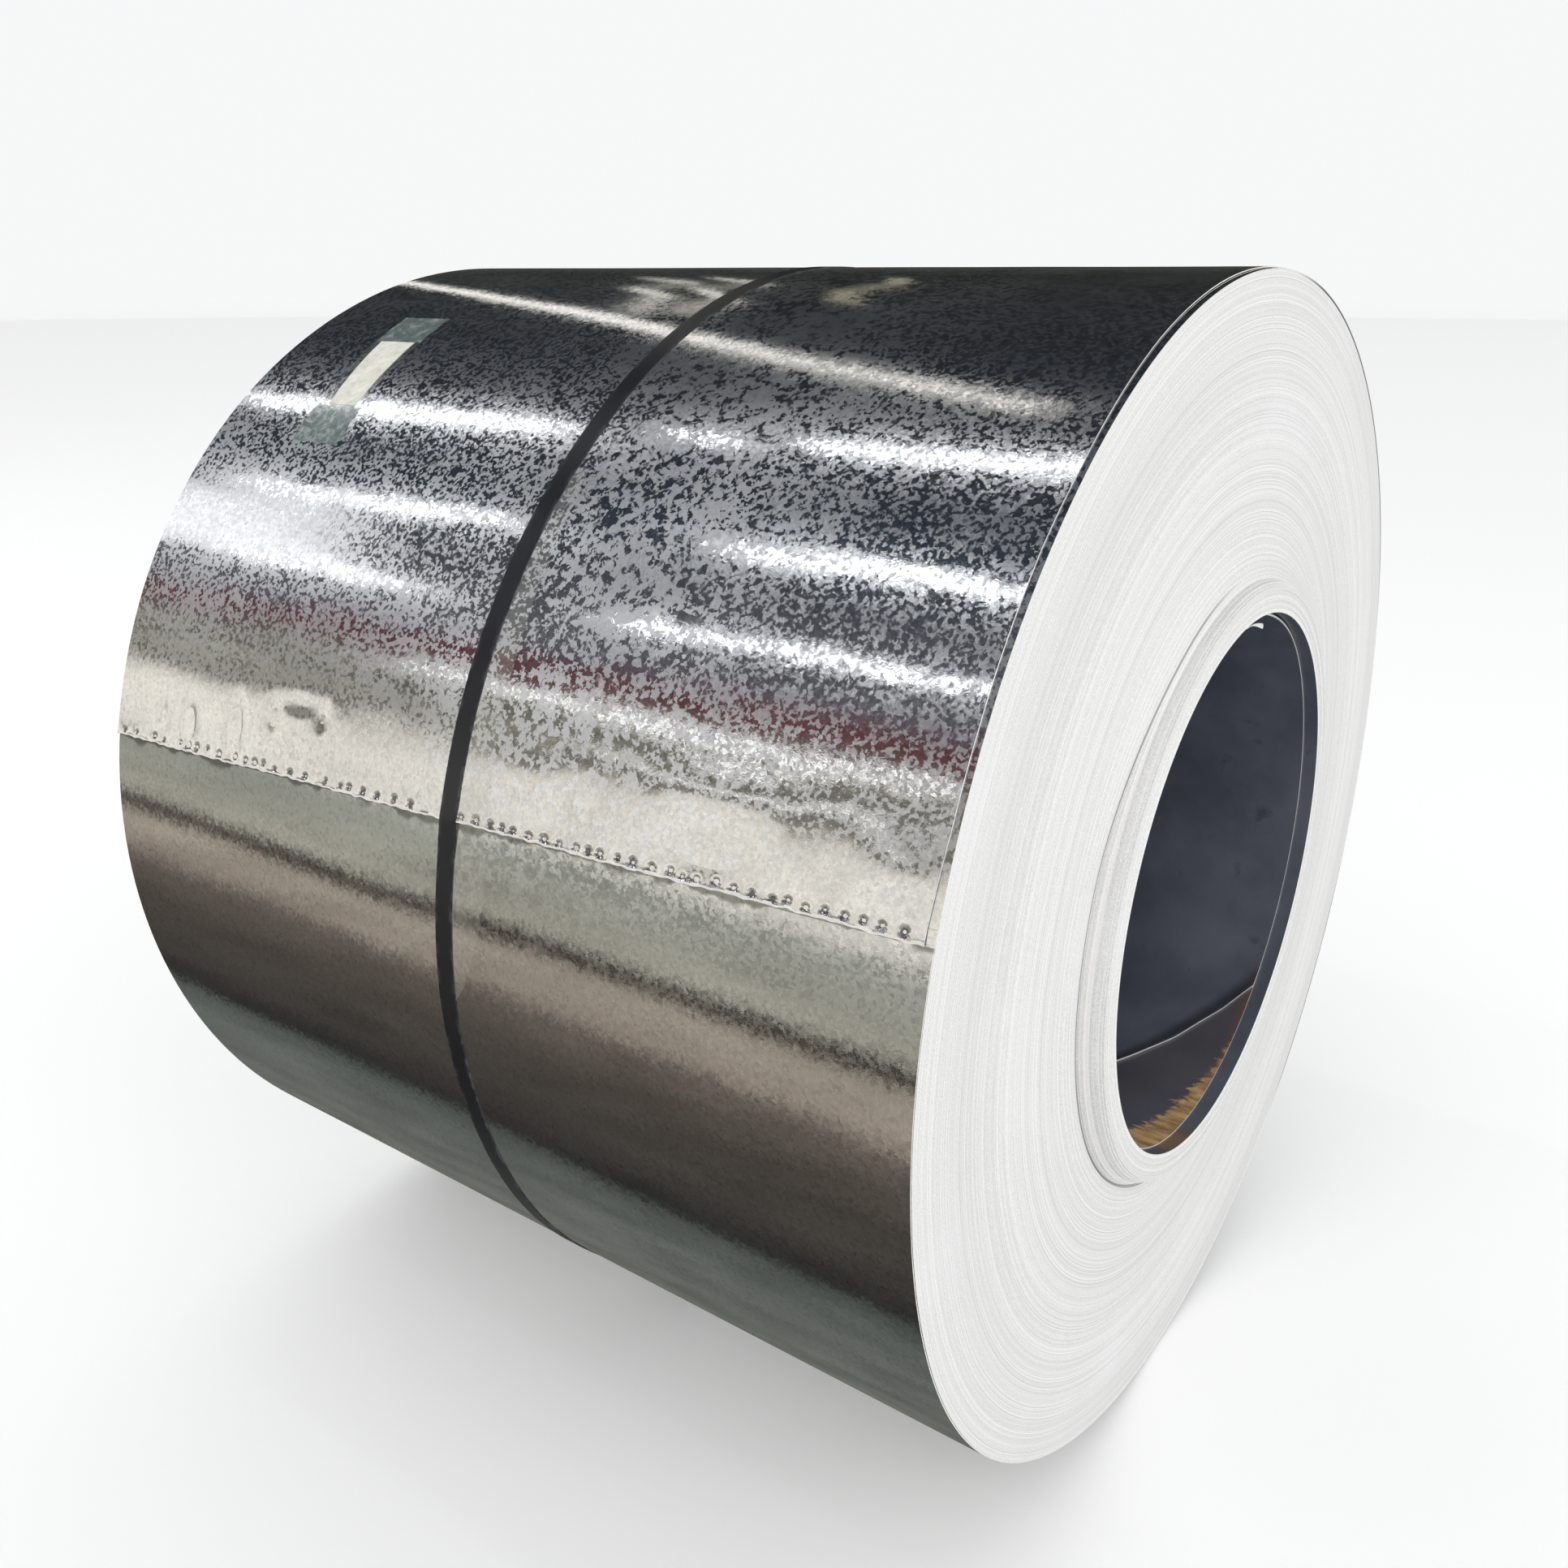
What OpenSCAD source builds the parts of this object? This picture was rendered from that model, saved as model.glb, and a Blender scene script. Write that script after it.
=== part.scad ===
// Slit coil of zinc-coated steel strip, lying on its side with its eye level.
// One wound solid with its bore, one flat strap round its middle with a
// crimped seal, a clear tape that holds the free end of the strip down, and
// a small paper strip under clear tape.
//
// Frame: X runs along the eye, Z is up, and the floor is Z = 0. The origin is
// the middle of the footprint. The end with the proud inner turns faces +X.
// The free end of the strip lies on the -Y side, a little above mid height.

/* [Strip and coil] */
// Width of the strip, which is the length of the wound body (3 ft stock)
strip_w = 914; // [600:1:1300]
// Thickness of one turn of strip
strip_t = 0.9; // [0.6:0.1:2]
// Diameter of the bore, set by the mandrel it was wound on
bore_d = 508; // [500:1:520]
// Diameter over the turns, without the last one
coil_od = 1084; // [1000:1:1200]

/* [Ends] */
// How far the inner turns stand out at the +X end and in at the -X end
collar_proud = 20; // [10:1:30]
// Radial build of the turns that stand out, measured from the bore
collar_build = 24; // [16:1:32]
// Radial length of the slope that leads up to them
collar_slope = 14; // [8:1:24]
// How far the edges of the first turn sit back in the +X mouth
first_turn_back = 15; // [8:1:30]
// How far the edge of the last turn sits back at the +X end
last_turn_back = 8; // [4:1:14]
// Number of bands that the turns of each end fall into
bands = 12; // [6:1:16]
// Most that one band stands out from its neighbour
band_step = 1.2; // [0.5:0.1:2]

/* [Free end] */
// Height angle of the free end, from level on the -Y side up towards the top
tail_deg = 14; // [5:1:30]

/* [Strap] */
// Width of the strap
strap_w = 19; // [16:0.1:32]
// Thickness of the strap
strap_t = 0.8; // [0.6:0.1:1.3]
// Distance of the strap from the middle of the strip, towards +X
strap_x = 8; // [-100:1:100]
// Length of the crimped seal along the strap
seal_len = 57; // [40:1:70]
// Wall of the seal
seal_t = 1.0; // [0.8:0.1:1.3]
// Place of the seal, measured round from level on the +Y side up to the top
seal_deg = 48; // [30:1:70]

/* [Tape and paper] */
// Width of the clear tape over the free end
tail_tape_w = 44; // [36:1:60]
// Where that tape starts, measured round from level on +Y over the top
tail_tape_from = 134; // [128:1:150]
// Where that tape stops, measured the same way
tail_tape_to = 182; // [174:1:190]
// Length of the paper strip, round the coil
label_len = 96; // [60:1:120]
// Width of the paper strip, along the coil
label_w = 44; // [30:1:60]
// Length of the clear tape over the paper
label_tape_len = 188; // [140:1:220]
// Width of the clear tape over the paper
label_tape_w = 66; // [50:1:80]
// Middle of the paper, measured round from level on +Y over the top
label_deg = 124.3; // [116:0.1:132]
// Middle of the paper along X from the middle of the strip
label_x = -311; // [-380:1:-240]
// Thickness of the tape and of the paper
film_t = 0.3; // [0.2:0.1:0.5]

/* [Hidden] */
$fn = 180;
bore_r = bore_d / 2;
coil_r = coil_od / 2;
// the free end's place, measured round from level on +Y over the top
tail_a = 180 - tail_deg;
// the half of the coil over the top has its centre half a strip thickness
// nearer the free end, and a radius that much larger, so its last turn stands
// a full thickness out at the free end and nothing on the far side
lap_c = strip_t / 2;
lap_r = coil_r + strip_t / 2;
half_w = strip_w / 2;
// middle of the footprint, from the middle of the strip
mid_x = collar_proud / 2;
axis_z = coil_r + strap_t;
// bands past this number are one flat ring at the -X end
flat_from = round(bands / 2);
// angle over which the strap and the tape come down off the free end's edge
strap_ramp = 3;
film_ramp = 1.4;

// Every shape is drawn about Z with the free end along +X, so that the plane
// through the free end and the eye is Y = 0; the top half is then Y < 0.
// This lays it down along X, with the free end at its place.
module lay() {
    translate([-mid_x, 0, axis_z]) rotate([90, 0, 90]) rotate([0, 0, tail_a]) children();
}

function to_cent(v) = round(v * 100) / 100;
// how far the band of number i stands back, from a fixed rule
function band_back(i) = to_cent(abs(band_step * 0.5 * (sin(i * 137.5) + sin(i * 71 + 20) * 0.6)));
// where the plain part of the end face starts, and the edges of its bands
face_r0 = bore_r + collar_build + collar_slope;
function band_r(i) = to_cent(face_r0 + (coil_r - face_r0) * pow(i / bands, 0.92));

// outline of the wound body, turned about the eye: the stepped +X end from the
// bore outwards, then the stepped -X end back; grow moves it all outwards, and
// back is how far the last turn's edge sits back at the +X end
function near_pts(grow, back) = concat(
    [[bore_r - 5, half_w + collar_proud],
     [bore_r + grow + 11, half_w + collar_proud],
     [bore_r + grow + 12, half_w + collar_proud - 0.8],
     [bore_r + grow + collar_build, half_w + collar_proud - 2],
     [face_r0 + grow - 3, half_w + 3.5]],
    [for (i = [0:bands - 1], k = [0, 1])
        [band_r(i + k) + grow - (k == 1 ? (i == bands - 1 ? strip_t : 0.4) : 0),
         half_w - (i == bands - 1 ? 0 : band_back(i))]],
    back > 0 ? [[coil_r + grow - strip_t, half_w - back]] : [],
    [[coil_r + grow, half_w - back]]
);
function far_pts(grow) = concat(
    [[coil_r + grow, -half_w], [band_r(flat_from) + grow, -half_w]],
    [for (i = [flat_from - 1:-1:0], k = [1, 0])
        [band_r(i + k) + grow - (k == 1 ? 0.4 : 0), -half_w + 0.3 + band_back(i + 3)]],
    [[face_r0 + grow - 3, -half_w + 2],
     [bore_r + grow + collar_build, -half_w + collar_proud - 2],
     [bore_r - 5, -half_w + collar_proud]]
);

// half of the wound body, on one side of the plane through the free end
module half_turned(grow, back) {
    rotate_extrude(angle = 180) polygon(concat(near_pts(grow, back), far_pts(grow)));
}

module coil() color("silver") lay() difference() {
    union() {
        translate([lap_c, 0, 0]) rotate([0, 0, 180]) half_turned(strip_t / 2, last_turn_back);
        half_turned(0, 0);
    }
    translate([0, 0, -half_w - 5]) cylinder(r = bore_r, h = strip_w + collar_proud + 10);
    // mouth, where the first turn stops short of the others
    translate([0, 0, half_w + collar_proud - first_turn_back]) cylinder(r = bore_r + strip_t, h = first_turn_back + 5);
}

// half a hoop of thickness t round the coil, with a gap under it: over the
// last turn on the top half, or on the turn below it on the other half
module hoop(r, gap, t, x0, x1) {
    rotate_extrude(angle = 180) translate([r + gap, x0]) square([t, x1 - x0]);
}
module top_hoop(gap, t, x0, x1) translate([lap_c, 0, 0]) rotate([0, 0, 180]) hoop(lap_r, gap, t, x0, x1);
module low_hoop(gap, t, x0, x1) hoop(coil_r, gap, t, x0, x1);

// everything just behind the half plane at this angle from the free end, for
// cutting the start off a hoop
module behind(a) rotate([0, 0, a]) translate([0, -400, -half_w - 50]) cube([coil_r + 60, 400, strip_w + 100]);

// a piece of a tube of thickness t, from angle a0 to a1 as seen from the free
// end, over the last turn or over the turn below it
module tube_arc(c, r, t, x0, x1, a0, a1) {
    intersection() {
        translate([c, 0, 0]) difference() {
            translate([0, 0, x0]) cylinder(r = r + t, h = x1 - x0);
            translate([0, 0, x0 - 1]) cylinder(r = r, h = x1 - x0 + 2);
        }
        rotate([0, 0, a0]) translate([0, 0, x0 - 1]) rotate_extrude(angle = a1 - a0) square([coil_r + 20, x1 - x0 + 2]);
    }
}
module top_arc(gap, t, x0, x1, a0, a1) tube_arc(lap_c, lap_r + gap, t, x0, x1, a0, a1);
module low_arc(gap, t, x0, x1, a0, a1) tube_arc(0, coil_r + gap, t, x0, x1, a0, a1);
function deg_of(len) = len / coil_r * 180 / PI;

// the short straight run where a hoop leaves the last turn at the free end and
// comes down on the turn below; it is let into both by a little
module ramp(t, x0, x1, a) {
    translate([0, 0, x0]) linear_extrude(x1 - x0) polygon([
        [coil_r + strip_t + 0.15 * t, -0.8],
        [coil_r + strip_t + 0.85 * t, -0.8],
        [to_cent(cos(a + 0.2) * (coil_r + 0.8 * t)), to_cent(sin(a + 0.2) * (coil_r + 0.8 * t))],
        [to_cent(cos(a + 0.2) * (coil_r + 0.2 * t)), to_cent(sin(a + 0.2) * (coil_r + 0.2 * t))]]);
}

module strap() color([0.17, 0.18, 0.19]) lay() {
    x0 = strap_x - strap_w / 2;
    x1 = strap_x + strap_w / 2;
    union() {
        top_hoop(0, strap_t, x0, x1);
        ramp(strap_t, x0, x1, strap_ramp);
        difference() {
            low_hoop(0, strap_t, x0, x1);
            behind(strap_ramp);
        }
    }
}

// a folded sleeve over the lapped strap ends, nipped at both edges
module strap_seal() color([0.20, 0.21, 0.22]) lay() {
    a = deg_of(seal_len) / 2;
    m = seal_deg - tail_a;
    x0 = strap_x - strap_w / 2 - seal_t;
    x1 = strap_x + strap_w / 2 + seal_t;
    difference() {
        top_arc(0, strap_t + seal_t, x0, x1, m - a, m + a);
        top_arc(-1, strap_t + 1, x0 + seal_t, x1 - seal_t, m - 2 * a, m + 2 * a);
        // two pairs of crimp notches
        for (s = [-1, 1], x = [x0, x1])
            rotate([0, 0, m + s * a * 0.42]) translate([coil_r - 2, -2.2, x - 1.4]) cube([8, 4.4, 2.8]);
    }
}

module tail_tape() color([0.86, 0.86, 0.78, 0.6]) lay() {
    x0 = strap_x + strap_w / 2 + 0.3;
    x1 = x0 + tail_tape_w - strap_w * 0.5;
    end = tail_tape_to - tail_a;
    difference() {
        union() {
            top_arc(0, film_t, x0, x1, tail_tape_from - tail_a, 0);
            ramp(film_t, x0, x1, film_ramp);
            low_arc(0, film_t, x0, x1, film_ramp, end);
        }
        // its lower end is torn off at a slant
        translate([coil_r - 60, 0, 0]) rotate([90, 0, 90]) linear_extrude(90) polygon([
            [sin(end) * coil_r, x0 + 4], [sin(end - 7) * coil_r, x1],
            [sin(end - 7) * coil_r, x1 + 9], [coil_r * 0.5, x1 + 9], [coil_r * 0.5, x0 + 4]]);
    }
}

module label_strip() color([0.94, 0.91, 0.82]) lay() {
    a = deg_of(label_len) / 2;
    m = label_deg - tail_a;
    top_arc(0, film_t, label_x - label_w / 2, label_x + label_w / 2, m - a, m + a);
}

module label_tape() color([0.85, 0.88, 0.84, 0.6]) lay() {
    a = deg_of(label_tape_len) / 2;
    b = deg_of(label_len) / 2;
    m = label_deg - tail_a;
    difference() {
        top_arc(0, 2 * film_t, label_x - label_tape_w / 2, label_x + label_tape_w / 2, m - a, m + a);
        top_arc(-1, film_t + 1, label_x - label_w / 2, label_x + label_w / 2, m - b, m + b);
    }
}

coil();
strap();
strap_seal();
tail_tape();
label_strip();
label_tape();
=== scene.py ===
import math

import bmesh
import bpy
import numpy as np
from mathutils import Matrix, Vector


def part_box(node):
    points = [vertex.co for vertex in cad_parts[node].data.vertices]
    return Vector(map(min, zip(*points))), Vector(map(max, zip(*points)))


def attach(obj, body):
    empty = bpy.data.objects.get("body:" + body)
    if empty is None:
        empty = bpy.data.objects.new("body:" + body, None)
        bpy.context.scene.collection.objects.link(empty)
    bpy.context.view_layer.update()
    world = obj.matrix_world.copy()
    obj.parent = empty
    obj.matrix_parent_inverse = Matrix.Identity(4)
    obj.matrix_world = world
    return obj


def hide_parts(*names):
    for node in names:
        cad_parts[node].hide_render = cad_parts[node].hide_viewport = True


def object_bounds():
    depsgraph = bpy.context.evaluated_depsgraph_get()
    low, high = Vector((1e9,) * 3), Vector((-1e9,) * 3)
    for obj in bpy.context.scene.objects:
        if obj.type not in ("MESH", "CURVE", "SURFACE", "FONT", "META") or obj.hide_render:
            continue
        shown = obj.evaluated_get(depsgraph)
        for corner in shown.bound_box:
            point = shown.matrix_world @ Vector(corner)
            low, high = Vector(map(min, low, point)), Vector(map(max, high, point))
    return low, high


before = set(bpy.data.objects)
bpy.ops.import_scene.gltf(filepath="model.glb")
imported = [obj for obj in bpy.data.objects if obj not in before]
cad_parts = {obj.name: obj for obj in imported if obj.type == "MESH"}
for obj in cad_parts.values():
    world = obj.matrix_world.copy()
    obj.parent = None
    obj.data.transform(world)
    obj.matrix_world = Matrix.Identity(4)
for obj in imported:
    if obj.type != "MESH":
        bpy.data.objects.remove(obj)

cad_lo, cad_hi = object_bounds()
scene = bpy.context.scene
rng = np.random.default_rng(20)

# ---------------------------------------------------------------- dimensions
# All in metres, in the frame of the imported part. phi is the angle round the
# eye: 0 at +Y, 90 at the top, 180 at -Y.
lo_coil, hi_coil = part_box("coil")
AZ = 0.5428                 # height of the eye
R = 0.542                   # outside of the turn below the last one
T = 0.0009                  # one turn of strip
BORE = 0.254
X_LO, X_FACE, X_COLLAR = -0.467, 0.447, 0.467
C_LAP = T / 2


def tail_phi(x):
    """Angle of the free end's edge at x: it was cut a little off square."""
    return 166.3 - 3.57 * x


def turn_r(w):
    """Outside radius of the last turn, w degrees back from the free end."""
    w = np.asarray(w, float)
    a = np.radians(np.clip(w, 0, 180))
    r = C_LAP * np.cos(a) + np.sqrt((R + C_LAP) ** 2 - (C_LAP * np.sin(a)) ** 2)
    return np.where(w >= 180, R, r)


def bell(u, u0, su):
    return np.exp(-((u - u0) / su) ** 2)


def smooth(a, b, v):
    t = np.clip((np.asarray(v, float) - a) / (b - a), 0, 1)
    return t * t * (3 - 2 * t)


# dents beside the free end, from pressing it down: x mm, mm back from the
# edge, half sizes along x and round the coil, and height
DENTS = [
    (-395, 31, 8, 13, -1.0), (-352, 27, 8, 17, -2.0), (-283, 33, 9, 21, -2.4),
    (-229, 50, 8, 12, -1.6), (-196, 65, 24, 6, -1.1), (-163, 57, 8, 11, -1.4),
    (-300, 92, 90, 16, -0.35), (-95, 60, 45, 20, -0.4),
    (88, 44, 40, 26, 0.9), (128, 30, 20, 20, -0.9),
    (262, 26, 46, 18, -1.5), (266, 66, 62, 18, 1.1), (206, 40, 14, 24, 0.5), (322, 40, 14, 26, 0.6),
    (412, 40, 26, 20, 1.3), (366, 30, 14, 16, -0.5),
]

# small round hits along the edge: x mm, mm back, radius mm, depth mm
HITS = []
x = -455.0
while x < -25:
    HITS.append((x, 5.4 + rng.uniform(-1.2, 2.2), rng.uniform(2.6, 5.0), rng.uniform(0.5, 1.5)))
    x += rng.uniform(11, 30)
x = 20.0
while x < 425:
    HITS.append((x, 5.0 + rng.uniform(-1.0, 1.6), rng.uniform(3.2, 4.8), rng.uniform(0.9, 1.6)))
    x += rng.uniform(10.5, 18)

WAVES = [(rng.uniform(0, 6.28), rng.uniform(0, 6.28)) for _ in range(12)]


def swell(x, s):
    """Slow waviness of a sheet under tension; x and s in mm, height in mm."""
    h = 0.0
    table = [(310, 0, 0.10), (190, 60, 0.045), (0, 240, 0.07), (420, 330, 0.16),
             (150, 210, 0.035), (95, 130, 0.014), (640, 520, 0.22)]
    for i, (lx, ls, amp) in enumerate(table):
        kx = 2 * math.pi / lx if lx else 0
        ks = 2 * math.pi / ls if ls else 0
        h = h + amp * np.sin(kx * x + WAVES[i][0] + 0.6 * np.sin(ks * s * 0.5)) * np.cos(ks * s + WAVES[i][1])
    return h


def lift(x, s, fine=True):
    """Height of the last turn over its true outline, x and s in mm."""
    near = np.exp(-np.clip(s, 0, None) / 420)
    far = smooth(3395, 3300, s)
    h = swell(x, s) * (0.45 + 0.9 * near) * far
    for x0, s0, sx, ss, a in DENTS:
        h = h + a * bell(x, x0, sx) * bell(s, s0, ss)
    # the edge bows up a little between the hits
    edge = np.exp(-np.clip(s, 0, None) / 5.0)
    h = h + edge * (0.25 + 0.22 * np.sin(x / 7.9 + 1.3 * np.sin(x / 31)) + 0.12 * np.sin(x / 3.1 + 2))
    # the free end springs off the turn below, and its burr is rolled outwards
    h = h + 0.75 * np.exp(-np.clip(s, 0, None) / 34)
    free = 1 - bell(x, 6, 15)           # held flat under the strap
    h = h + free * np.exp(-np.clip(s, 0, None) / 1.5) * (0.62 + 0.34 * np.sin(x / 5.2 + 1.9 * np.sin(x / 23)))
    if fine:
        for x0, s0, rad, dep in HITS:
            d2 = ((x - x0) / 1.25) ** 2 + (s - s0) ** 2
            h = h - dep * np.exp(-d2 / (rad * 0.62) ** 2) + 0.16 * dep * np.exp(-((np.sqrt(d2) - rad) / 1.3) ** 2)
    return h


def surf_r(x, phi, fine=False):
    """Radius of the visible strip surface at x (m) and phi (degrees)."""
    w = np.mod(tail_phi(x) - phi, 360.0)
    s = np.radians(w) * R * 1000
    return turn_r(w) + lift(x * 1000, s, fine) / 1000


def at(x, phi, r):
    p = np.radians(phi)
    return np.stack([np.broadcast_to(x, np.shape(r)), r * np.cos(p), AZ + r * np.sin(p)], -1)


# ------------------------------------------------------------------- meshes
def make(name, verts, faces, mats, index=None, angle=32, node=(), slot=None, recalc=True):
    me = bpy.data.meshes.new(name)
    pts = np.clip(np.asarray(verts).reshape(-1, 3), np.array(cad_lo) + 1e-6, np.array(cad_hi) - 1e-6)
    me.from_pydata(pts.tolist(), [], faces)
    for m in mats:
        me.materials.append(m)
    if index is not None:
        me.polygons.foreach_set("material_index", np.asarray(index, np.int32))
    if recalc:
        bm = bmesh.new()
        bm.from_mesh(me)
        bmesh.ops.recalc_face_normals(bm, faces=bm.faces)
        bm.to_mesh(me)
        bm.free()
    me.polygons.foreach_set("use_smooth", np.ones(len(me.polygons), bool))
    me.set_sharp_from_angle(angle=math.radians(angle))
    me.update()
    ob = bpy.data.objects.new(name, me)
    scene.collection.objects.link(ob)
    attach(ob, "root")
    if node:
        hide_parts(*node)
    return ob


def slab(name, top, bottom, mats, **kw):
    """A closed thin sheet from two equal grids of points (rows, columns, 3)."""
    n, m = top.shape[:2]
    v = np.concatenate([top.reshape(-1, 3), bottom.reshape(-1, 3)])
    o = n * m
    f = []
    for i in range(n - 1):
        for j in range(m - 1):
            a, b, c, d = i * m + j, i * m + j + 1, (i + 1) * m + j + 1, (i + 1) * m + j
            f.append((a, b, c, d))
            f.append((o + d, o + c, o + b, o + a))
    for i in range(n - 1):
        for j in (0, m - 1):
            a, d = i * m + j, (i + 1) * m + j
            f.append((a, d, o + d, o + a))
    for j in range(m - 1):
        for i in (0, n - 1):
            a, b = i * m + j, i * m + j + 1
            f.append((b, a, o + a, o + b))
    return make(name, v, f, mats, **kw)


# ---------------------------------------------------------------- materials
def lin(*rgb):
    out = []
    for v in rgb:
        v = v / 255
        out.append(v / 12.92 if v <= 0.04045 else ((v + 0.055) / 1.055) ** 2.4)
    return (*out, 1.0)


class Nodes:
    def __init__(self, name):
        self.mat = bpy.data.materials.new(name)
        self.mat.use_nodes = True
        self.t = self.mat.node_tree
        self.t.nodes.clear()
        self.out = self.t.nodes.new("ShaderNodeOutputMaterial")
        self.bsdf = self.t.nodes.new("ShaderNodeBsdfPrincipled")
        self.t.links.new(self.bsdf.outputs[0], self.out.inputs[0])

    def new(self, kind, **kw):
        n = self.t.nodes.new("ShaderNode" + kind)
        for k, v in kw.items():
            setattr(n, k, v)
        return n

    def put(self, src, dst):
        self.t.links.new(src, dst)

    def val(self, node, **kw):
        for k, v in kw.items():
            node.inputs[k.replace("_", " ")].default_value = v

    def coord(self):
        return self.new("TexCoord").outputs["Object"]

    def scaled(self, src, s):
        n = self.new("VectorMath", operation="MULTIPLY")
        self.put(src, n.inputs[0])
        n.inputs[1].default_value = s if hasattr(s, "__len__") else (s, s, s)
        return n.outputs[0]

    def noise(self, src, scale, detail=2.0, rough=0.5, dim="3D"):
        n = self.new("TexNoise", noise_dimensions=dim)
        if dim == "1D":
            self.put(src, n.inputs["W"])
        else:
            self.put(src, n.inputs["Vector"])
        n.inputs["Scale"].default_value = scale
        n.inputs["Detail"].default_value = detail
        n.inputs["Roughness"].default_value = rough
        return n.outputs["Fac"], n.outputs["Color"]

    def voronoi(self, src, scale, feature="F1"):
        n = self.new("TexVoronoi", feature=feature)
        self.put(src, n.inputs["Vector"])
        n.inputs["Scale"].default_value = scale
        return n

    def math(self, op, a, b=None, c=None, clamp=False):
        n = self.new("Math", operation=op, use_clamp=clamp)
        for i, v in enumerate((a, b, c)):
            if v is None:
                continue
            if isinstance(v, (int, float)):
                n.inputs[i].default_value = v
            else:
                self.put(v, n.inputs[i])
        return n.outputs[0]

    def vmath(self, op, a, b=None):
        n = self.new("VectorMath", operation=op)
        for i, v in enumerate((a, b)):
            if v is None:
                continue
            if isinstance(v, tuple):
                n.inputs[i].default_value = v
            else:
                self.put(v, n.inputs[i])
        return n.outputs[0]

    def step(self, v, a, b, lo=0.0, hi=1.0):
        n = self.new("MapRange", interpolation_type="SMOOTHSTEP")
        self.put(v, n.inputs["Value"])
        for k, q in (("From Min", a), ("From Max", b), ("To Min", lo), ("To Max", hi)):
            if isinstance(q, (int, float)):
                n.inputs[k].default_value = q
            else:
                self.put(q, n.inputs[k])
        return n.outputs["Result"]

    def mix(self, fac, a, b):
        n = self.new("Mix", data_type="RGBA")
        if isinstance(fac, (int, float)):
            n.inputs[0].default_value = fac
        else:
            self.put(fac, n.inputs[0])
        for i, v in ((6, a), (7, b)):
            if isinstance(v, tuple):
                n.inputs[i].default_value = v
            else:
                self.put(v, n.inputs[i])
        return n.outputs[2]

    def mixf(self, fac, a, b):
        n = self.new("Mix", data_type="FLOAT")
        self.put(fac, n.inputs[0])
        for i, v in ((2, a), (3, b)):
            if isinstance(v, (int, float)):
                n.inputs[i].default_value = v
            else:
                self.put(v, n.inputs[i])
        return n.outputs[0]

    def bump(self, height, strength, distance, normal=None):
        n = self.new("Bump")
        n.inputs["Strength"].default_value = strength
        n.inputs["Distance"].default_value = distance
        self.put(height, n.inputs["Height"])
        if normal is not None:
            self.put(normal, n.inputs["Normal"])
        return n.outputs[0]

    def radius_angle(self):
        s = self.new("SeparateXYZ")
        self.put(self.coord(), s.inputs[0])
        z = self.math("SUBTRACT", s.outputs[2], AZ)
        y = s.outputs[1]
        r = self.math("SQRT", self.math("ADD", self.math("MULTIPLY", y, y), self.math("MULTIPLY", z, z)))
        a = self.math("ARCTAN2", z, y)
        return s.outputs[0], r, a, y, z


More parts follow.
